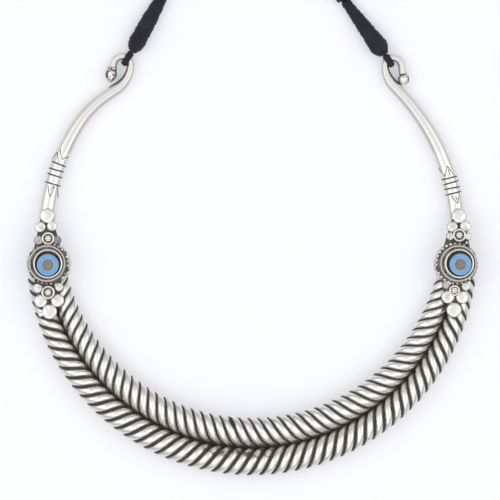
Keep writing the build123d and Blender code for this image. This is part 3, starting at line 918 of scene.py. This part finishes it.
def make_ornament(name, side, lean, layout, node):
    """Everything that is soldered together over one joint, from its backing upwards."""
    bm = bmesh.new()
    wear_and_shade_layer = bm.verts.layers.float.new("wear_and_shade")

    def lay(verts, spot, height, wear_and_shade_at):
        paint(verts, wear_and_shade_layer, wear_and_shade_at)
        bmesh.ops.translate(bm, vec=(spot.out, side * spot.along, height), verts=verts)

    # The backing plate and the lower parts below are painted dark with tarnish and painted shade,
    # and their tops brighter.
    for reach in (layout.discs[0].along, layout.discs[-1].along):
        plate = bmesh.ops.create_cube(bm, size=1)["verts"]
        for vert in plate:
            at_end = vert.co.y > 0
            width = backing_end_width if at_end else backing_root_width
            vert.co = Vector((vert.co.x * width, side * reach if at_end else 0,
                              backing_thickness * (vert.co.z + 0.5)))
        lay(plate, Spot(0, 0), 0, lambda co: 0.1)
    for disc in layout.discs:
        dome = add_dome(bm, disc_spread * disc.radius, disc_height, edge=0.36, top=0.75, around=28)
        for vert in dome:
            dent = vert.co * dent_grain
            where = Vector((dent.x + disc.out, dent.y + disc.along, side))
            vert.co.z *= 1 + disc_dents * noise.noise(where)
        lay(dome, disc, 0, lambda co: 0.78 * disc.polish * smooth(0.2, 0.75, co.z / disc_height))
    for floret in layout.florets:
        plate = add_dome(bm, floret.radius - floret_gap, floret_height, edge=0.2, top=0.1, around=28)
        lay(plate, floret, backing_thickness, lambda co: 0.15)
        hoop = add_hoop(bm, floret.radius - floret_wire, floret_wire, floret_wire, squareness=1,
                        around=32, across=10)
        lay(hoop, floret, backing_thickness + floret_height, lambda co: smooth(-0.25, 0.2, co.z))
        petals = add_ball(bm, petal_radius, (0, 0, 0))
        for petal in range(petal_count):
            turn = TURN * petal / petal_count
            spot = (petal_circle_radius * cos(turn), petal_circle_radius * sin(turn), 0)
            petals += add_ball(bm, petal_radius, spot)
        lay(petals, floret, backing_thickness + floret_height, lambda co: smooth(-0.2, 0.1, co.z))
    for granule in layout.granules:
        ball = add_ball(bm, granule_radius, (0, 0, 0))
        lay(ball, granule, granule.height, lambda co: smooth(-0.2, 0.35, co.z))
    foot = add_dome(bm, base_foot_radius, rim_height, edge=0.12, top=0.3, around=96)
    slant = Vector((layout.rim.out - layout.base.out,
                    side * (layout.rim.along - layout.base.along), 0))
    for vert in foot:
        level = max(vert.co.z, 0) / rim_height
        lean_in = Vector((vert.co.x, vert.co.y, 0)) * base_foot_slope
        vert.co += (slant - lean_in) * level
    # The foot is dark with tarnish and shade, with a painted highlight on the wall of its inner
    # side.
    lay(foot, layout.base, 0,
        lambda co: 0.1 + 0.87 * smooth(1, 5, -co.x) * (1 - smooth(0.6, 0.85, co.z / rim_height)))
    for knob in range(knob_count):
        turn = TURN * (knob + 0.5) / knob_count
        out = Vector((cos(turn), sin(turn), 0))
        ball = add_ball(bm, knob_radius, (0, 0, 0))
        spot = Spot(layout.rim.out + knob_circle_radius * out.x,
                    layout.rim.along + knob_circle_radius * out.y)
        # Each knob gets a painted highlight on its top, stronger on the inner side, and varies at
        # random.
        uneven = 0.8 * noise.noise(Vector((2.3 * knob, side, 0)))
        polish = 0.4 + 0.2 * smooth(0, 0.9, -out.x) + uneven
        lay(ball, spot, knob_level, lambda co: polish * smooth(0.0, 0.8, co.z / knob_radius))
    top = add_dome(bm, base_top_radius, base_height, edge=0.08, top=0.08, around=96)
    shift = Vector((layout.base.out - layout.top.out,
                    side * (layout.base.along - layout.top.along), 0))
    for vert in top:
        vert.co += shift * (1 - smooth(rim_height, base_height, vert.co.z))
    # Painted shade darkens the base's floor inside the collet, round the bead.
    lay(top, layout.top, 0, lambda co: -0.3 if co.xy.length < shaded_floor_radius else 0.18)
    twist = add_twisted_hoop(bm, twisted_ring_radius, twisted_ring_wire / 2, twisted_ring_turns)
    lay(twist, layout.top, base_height + twisted_ring_wire / 2, lambda co: smooth(-0.35, 0.1, co.z))
    collet = add_hoop(bm, collet_radius - collet_wall / 2, collet_wall / 2, collet_height / 2,
                      squareness=0.5, around=96, across=16)
    for vert in collet:
        vert.co.x -= layout.collet_lean * (0.5 - vert.co.z / collet_height)
    lay(collet, layout.collet, base_height + collet_height / 2, lambda co: smooth(-0.9, 0.1, co.z))
    bmesh.ops.transform(bm, matrix=ornament_seat(side, lean), verts=bm.verts)
    return new_piece(name, bm, silver, "oxidised_silver", node)


make_ornament("ornament_left_soldered", -1, left_lean, left_layout, "ornament_left")
make_ornament("ornament_right_soldered", 1, right_lean, right_layout, "ornament_right")


# Beads: a flat, wound bead of light blue glass lies in each collet with its hole upwards, held by
# the collet's lip. Each has slipped a little towards the front, and the right one has a chip.
bead_radius = 3.88
bead_seat_gap = 0.05
bead_height = 1.4
bead_hole_radius = 1.65
bead_edge_shade = (0.28, 0.06)    # the glass darkens between these distances from its edge
chip_depth = 0.35
left_bead = Spot(-0.13, 0.05)
right_bead = Spot(1.45, 0.3)

# Opaque glass: smooth and wetly glossy where it is whole and faintly streaked, with a nearly
# black-blue painted shade where it turns down into the collet.
blue_glass, tree, shader = new_material("opaque blue glass", Roughness=0.22, Coat_Weight=0.4,
                                        Coat_Roughness=0.08)
place = add_node(tree, "ShaderNodeTexCoord", {}, {}).outputs["Object"]
wear_and_shade = add_node(tree, "ShaderNodeAttribute", {"attribute_name": "wear_and_shade"}, {}).outputs["Fac"]
streaks = add_node(tree, "ShaderNodeTexNoise", {},
                   {"Vector": place, "Scale": grain(2), "Detail": 3.0})
blue = add_node(tree, "ShaderNodeMix", {"data_type": "RGBA"},
                {0: streaks.outputs["Fac"], 6: linear("#6595C2"), 7: linear("#85AFD4")})
tone = add_node(tree, "ShaderNodeMix", {"data_type": "RGBA"},
                {0: wear_and_shade, 6: linear("#1E2238"), 7: blue.outputs[2]})
tree.links.new(tone.outputs[2], shader.inputs["Base Color"])


def make_bead(name, side, lean, place, chipped, node):
    """Flat glass bead with its hole upwards."""
    bm = bmesh.new()
    wear_and_shade_layer = bm.verts.layers.float.new("wear_and_shade")
    middle = (bead_radius + bead_hole_radius) / 2
    verts = add_hoop(bm, middle, (bead_radius - bead_hole_radius) / 2, bead_height / 2,
                     squareness=0.55, around=96, across=32)
    chip = Vector((-2.2, 2.75 * side, bead_height / 2))
    for vert in verts:
        if chipped:
            vert.co.z -= chip_depth * (1 - smooth(0.3, 1.0, (vert.co - chip).length))
        # Painted shade darkens the glass towards its edge, where it turns down into the collet.
        inner, outer = [bead_radius - distance for distance in bead_edge_shade]
        vert[wear_and_shade_layer] = 1 - smooth(inner, outer, vert.co.xy.length)
    foot = base_height + bead_seat_gap
    bmesh.ops.translate(bm, vec=(place.out, side * place.along, foot + bead_height / 2), verts=verts)
    bmesh.ops.transform(bm, matrix=ornament_seat(side, lean), verts=bm.verts)
    return new_piece(name, bm, blue_glass, "blue_glass", node)


make_bead("glass_bead_left_spun", -1, left_lean, left_bead, False, "glass_bead_left")
make_bead("glass_bead_right_spun", 1, right_lean, right_bead, True, "glass_bead_right")


# Bead fillings: the hole of each bead is packed almost level with a brown-grey filler that has
# set hard in it.
fill_gap = 0.03
fill_drop = 0.08
fill_foot = 0.53

# Gritty filler: dry and dull, so it takes the light without a gleam. Its grit is too fine to show,
# and is drawn coarser.
filler, tree, shader = new_material("gritty filler", Roughness=0.85, Specular_IOR_Level=0.3)
place = add_node(tree, "ShaderNodeTexCoord", {}, {}).outputs["Object"]
grit = add_node(tree, "ShaderNodeTexNoise", {},
                {"Vector": place, "Scale": grain(0.667), "Detail": 4.0})
tone = add_node(tree, "ShaderNodeMix", {"data_type": "RGBA"},
                {0: grit.outputs["Fac"], 6: linear("#6E6154"), 7: linear("#A69688")})
bump = add_node(tree, "ShaderNodeBump", {},
                {"Height": grit.outputs["Fac"], "Strength": 0.6, "Distance": 0.0001})
tree.links.new(tone.outputs[2], shader.inputs["Base Color"])
tree.links.new(bump.outputs["Normal"], shader.inputs["Normal"])


def make_fill(name, side, lean, place, node):
    """Filling in the hole of a bead, just below its face."""
    bm = bmesh.new()
    verts = add_dome(bm, bead_hole_radius - fill_gap, bead_height - fill_foot - fill_drop,
                     edge=0.15, top=0.15, around=40)
    level = base_height + bead_seat_gap + fill_foot
    bmesh.ops.translate(bm, vec=(place.out, side * place.along, level), verts=verts)
    bmesh.ops.transform(bm, matrix=ornament_seat(side, lean), verts=bm.verts)
    return new_piece(name, bm, filler, "bead_fill", node)


make_fill("bead_fill_left_packed", -1, left_lean, left_bead, "bead_fill_left")
make_fill("bead_fill_right_packed", 1, right_lean, right_bead, "bead_fill_right")


# Surface and light: a white sheet under a bright, soft light from left, right and front. It also
# glows, like paper on a light table, so the shadows on it are faint.
floor_half_size = 1.5
light_size = 0.9
sheet, tree, shader = new_material("white paper", Base_Color=linear("#CECFD2"), Roughness=0.9,
                                   Specular_IOR_Level=0.1, Emission_Color=linear("#F6F8FD"),
                                   Emission_Strength=0.36)
floor_mesh = bpy.data.meshes.new("floor")
bm = bmesh.new()
bmesh.ops.create_grid(bm, x_segments=1, y_segments=1, size=floor_half_size)
bm.to_mesh(floor_mesh)
bm.free()
floor_mesh.materials.append(sheet)
floor = bpy.data.objects.new("floor", floor_mesh)
bpy.context.collection.objects.link(floor)


def add_light(name, place, watts):
    """Soft square light that shines at the necklace."""
    data = bpy.data.lights.new(name, "AREA")
    data.size = light_size
    data.energy = watts
    light = bpy.data.objects.new(name, data)
    light.location = place
    light.rotation_euler = (-Vector(place)).to_track_quat("-Z", "Y").to_euler()
    bpy.context.collection.objects.link(light)


add_light("left light", (-0.8, 0.1, 1.0), 2.9)
add_light("right light", (0.8, 0.1, 1.0), 2.9)
add_light("front light", (0.0, -0.8, 1.0), 2.3)
world = bpy.data.worlds.new("white room")
world.use_nodes = True
tree = world.node_tree
direction = add_node(tree, "ShaderNodeTexCoord", {}, {}).outputs["Generated"]
height = add_node(tree, "ShaderNodeSeparateXYZ", {}, {0: direction}).outputs["Z"]
ceiling = add_node(tree, "ShaderNodeValToRGB", {}, {"Fac": height})
ramp = ceiling.color_ramp
ramp.elements[0].position, ramp.elements[0].color = 0.0, linear("#A6A6AA")
ramp.elements[1].position, ramp.elements[1].color = 1.0, linear("#F6F7F9")
for position, colour in ((0.25, "#BEBFC3"), (0.5, "#E9EAED"), (0.8, "#FFFFFF")):
    ramp.elements.new(position).color = linear(colour)
background = tree.nodes["Background"]
background.inputs["Strength"].default_value = 0.83
tree.links.new(ceiling.outputs["Color"], background.inputs["Color"])
bpy.context.scene.world = world
bpy.context.scene.view_settings.view_transform = "Standard"
